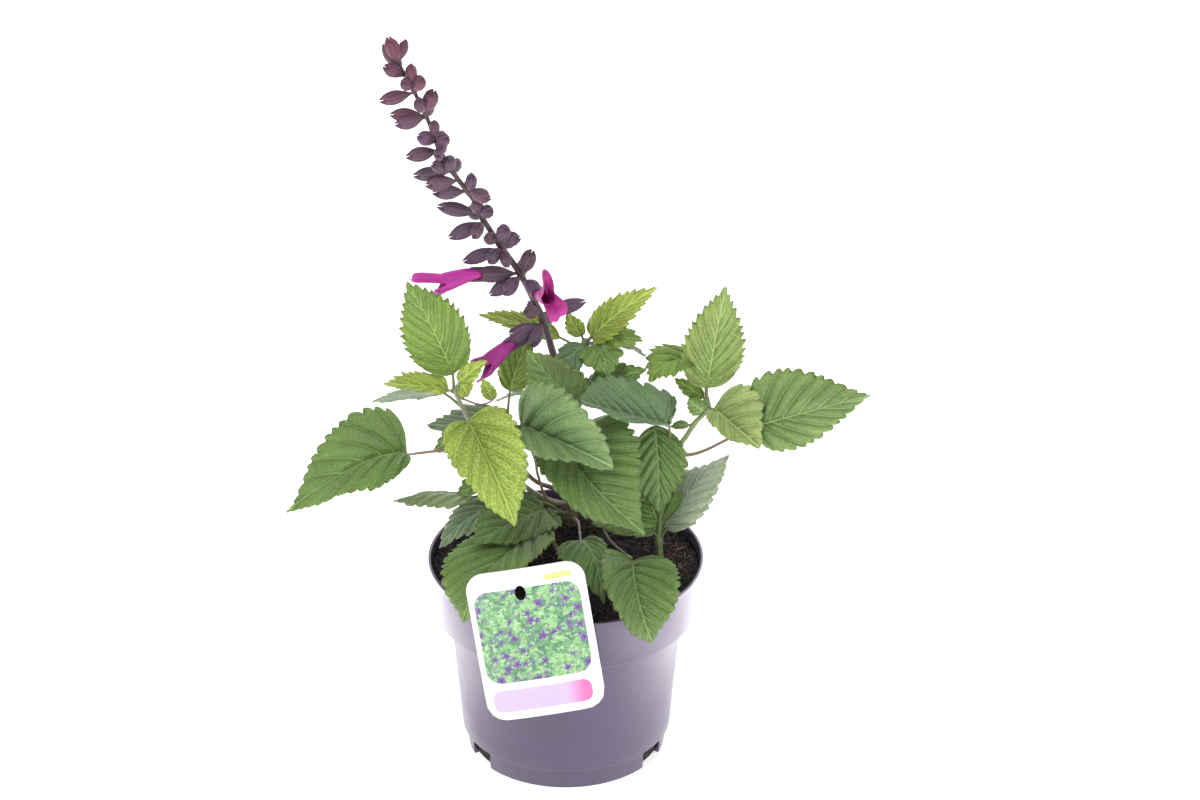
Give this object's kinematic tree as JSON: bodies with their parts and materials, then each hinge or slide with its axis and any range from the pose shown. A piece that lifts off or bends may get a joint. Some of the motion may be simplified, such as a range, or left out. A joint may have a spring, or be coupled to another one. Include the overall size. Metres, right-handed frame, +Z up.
{
  "type": "potted sage",
  "caption": "Young flowering sage in a thin round nursery pot: toothed leaves on square stems, a leaning dark spike of calyces with open flowers, and a card label hooked over the rim.",
  "frame": {"origin": "centre of the pot's flat underside", "axes": "+Z up; -Y is the front, where the label is; +X is to the right as seen from the front"},
  "size_m": [0.272, 0.151, 0.3616],
  "materials": {
    "pot_plastic": "thin moulded plastic, mauve grey, soft sheen",
    "potting_soil": "dark crumbly potting soil with brown fibres",
    "label_card": "printed plastic card",
    "leaf_green": "living leaf, soft, veined",
    "leaf_young": "young living leaf, soft, veined",
    "calyx_plum": "dark plum calyx with fine hairs",
    "petal_magenta": "magenta petal, velvety"
  },
  "bodies": {
    "root": {"pot": "pot_plastic", "soil": "potting_soil", "plant_label": "label_card", "main_leafy_stem": "leaf_green", "front_leafy_stem": "leaf_green", "left_leafy_stem": "leaf_young", "inner_leafy_stem": "leaf_young", "right_leafy_stem": "leaf_green", "top_leafy_stem": "leaf_young", "back_leafy_stem": "leaf_green", "flower_spike": "calyx_plum", "bloom_left": "petal_magenta", "bloom_front": "petal_magenta", "bloom_low": "petal_magenta"}
  },
  "joints": []
}
